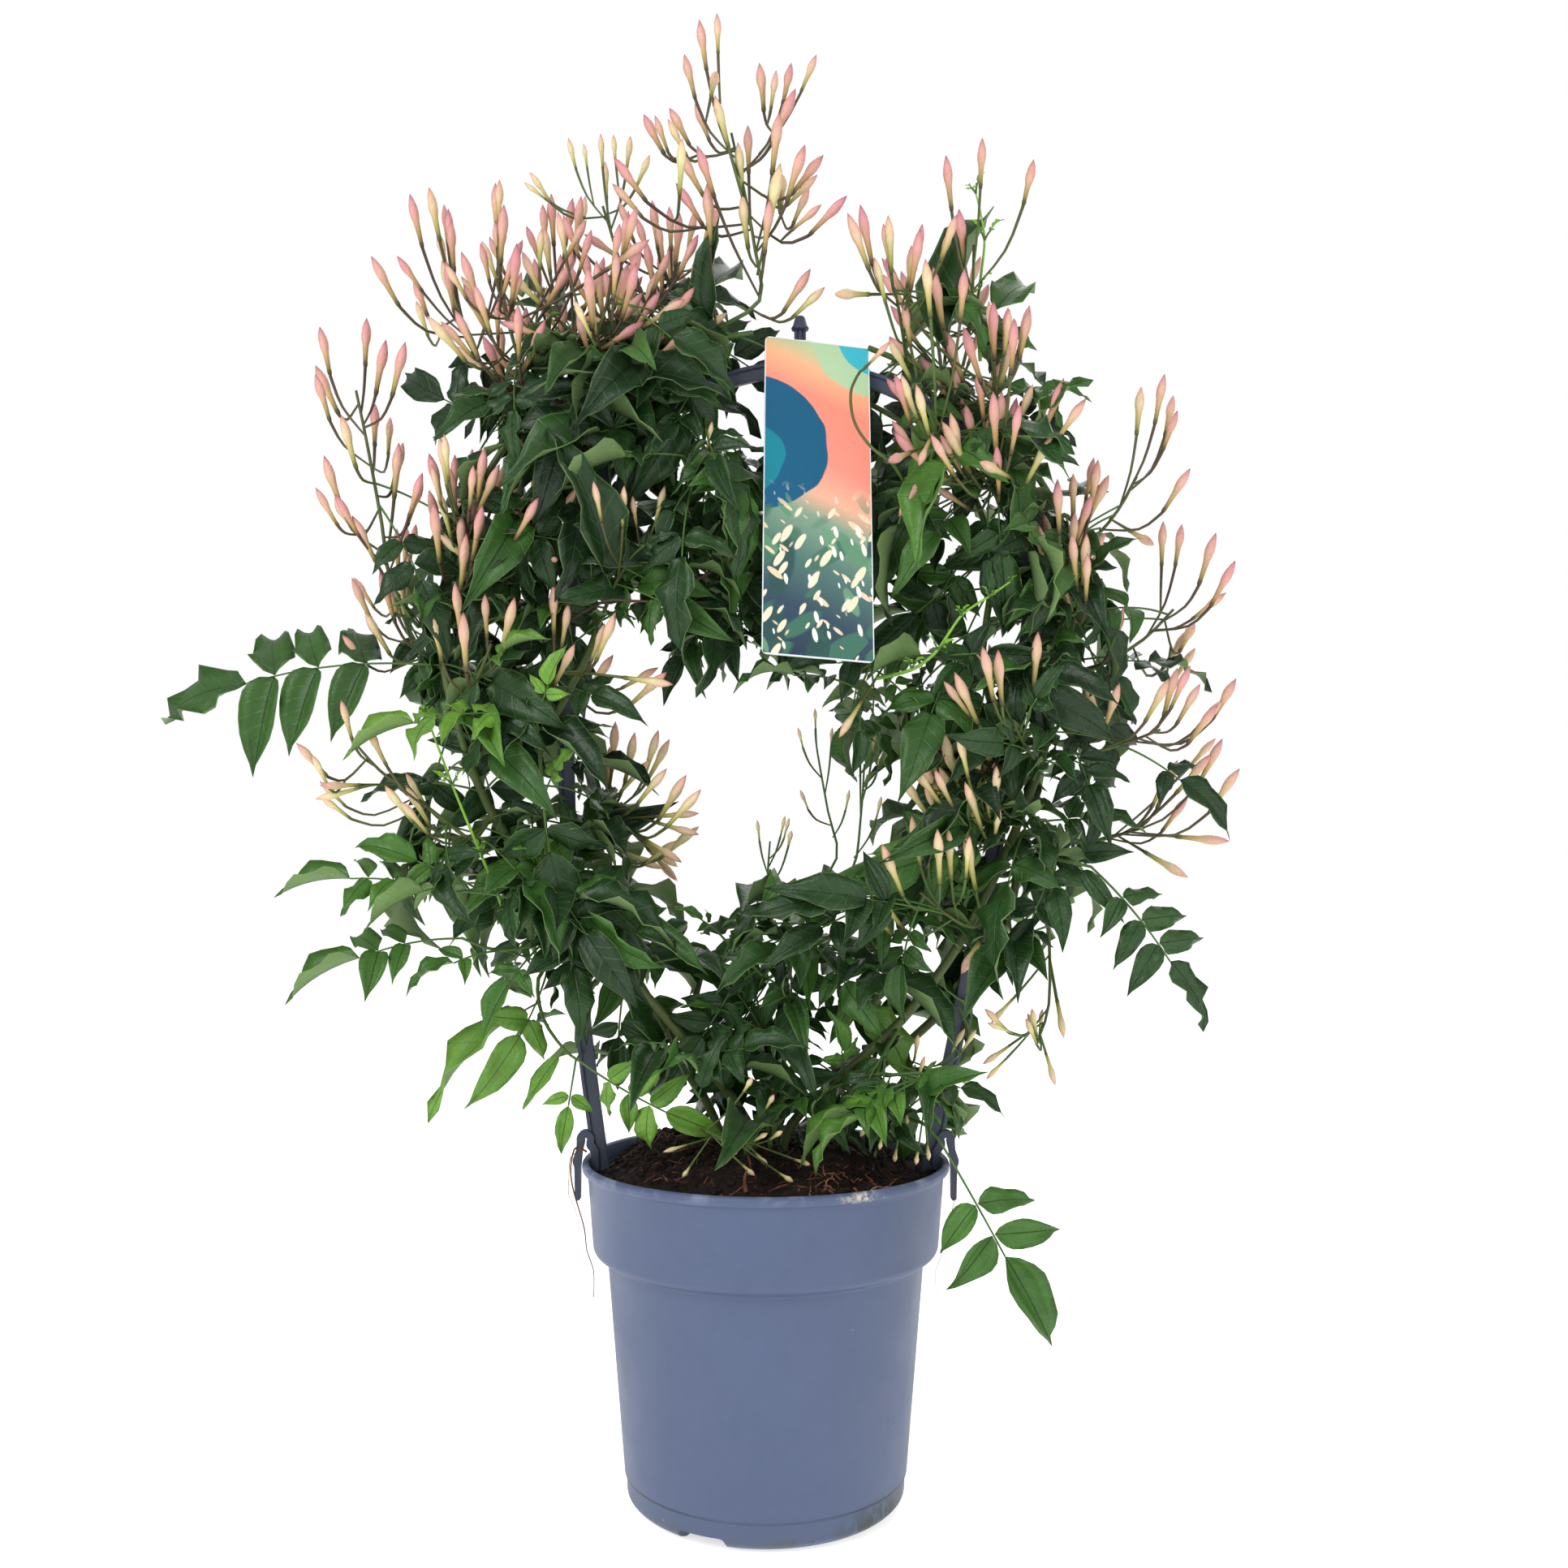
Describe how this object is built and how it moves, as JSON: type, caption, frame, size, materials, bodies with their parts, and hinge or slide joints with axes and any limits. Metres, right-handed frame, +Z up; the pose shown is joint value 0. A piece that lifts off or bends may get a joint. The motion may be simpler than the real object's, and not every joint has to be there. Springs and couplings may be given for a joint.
{
  "type": "pink jasmine in a pot",
  "caption": "Climbing jasmine trained round a plastic hoop in a round nursery pot, with sprays of long pink flower buds, feathered dark leaves and a picture tag.",
  "frame": {"origin": "on the floor under the middle of the pot", "axes": "+Z up, -Y the front that the picture tag faces, +X to the right seen from the front"},
  "size_m": [0.5201, 0.1822, 0.6787],
  "materials": {
    "pot_plastic": "satin moulded, scuffed",
    "soil": "damp peat and fibre",
    "hoop_plastic": "satin moulded",
    "tag_card": "gloss printed sheet",
    "vine": "smooth green bark with leaves",
    "leafy_shoot": "glossy leaves",
    "bud_spray": "waxy buds on green stalks"
  },
  "bodies": {
    "root": {"pot": "pot_plastic", "soil": "soil", "hoop": "hoop_plastic", "tag": "tag_card", "vine_left_outer": "vine", "vine_left_inner": "vine", "vine_right_outer": "vine", "vine_right_inner": "vine", "vine_centre": "vine", "spray_top": "bud_spray", "spray_top_young": "bud_spray", "spray_crest_far": "bud_spray", "spray_crest_left": "bud_spray", "spray_crest_back": "bud_spray", "spray_crest_front": "bud_spray", "spray_crest_right": "bud_spray", "spray_left": "bud_spray", "spray_left_low": "bud_spray", "spray_left_inner": "bud_spray", "spray_left_heart": "bud_spray", "spray_left_face": "bud_spray", "spray_left_gap": "bud_spray", "spray_gap_left": "bud_spray", "spray_reach": "bud_spray", "spray_tag_left": "bud_spray", "spray_right_high": "bud_spray", "spray_right_crest": "bud_spray", "spray_right_back": "bud_spray", "spray_right_shoulder": "bud_spray", "spray_right_inner": "bud_spray", "spray_tag_right": "bud_spray", "spray_far_right_top": "bud_spray", "spray_right_mid": "bud_spray", "spray_far_right": "bud_spray", "spray_right_out": "bud_spray", "spray_right_low": "bud_spray", "spray_gap_right": "bud_spray", "spray_gap_low": "bud_spray", "spray_right_face": "bud_spray", "spray_hang": "bud_spray", "shoot_opening_middle": "leafy_shoot", "shoot_opening_right": "leafy_shoot", "shoot_opening_left": "leafy_shoot", "spray_soil": "bud_spray", "spray_soil_right": "bud_spray", "shoot_left_front": "leafy_shoot", "shoot_left_low": "leafy_shoot", "shoot_left_mid": "leafy_shoot", "shoot_left_drop": "leafy_shoot", "shoot_base_left": "leafy_shoot", "shoot_soil_right": "leafy_shoot", "shoot_over_rim": "leafy_shoot", "shoot_right_droop": "leafy_shoot", "shoot_centre_low": "leafy_shoot", "shoot_centre_left": "leafy_shoot", "shoot_centre_base": "leafy_shoot", "shoot_top": "leafy_shoot", "shoot_opening_top": "leafy_shoot", "shoot_opening_side": "leafy_shoot"}
  },
  "joints": []
}
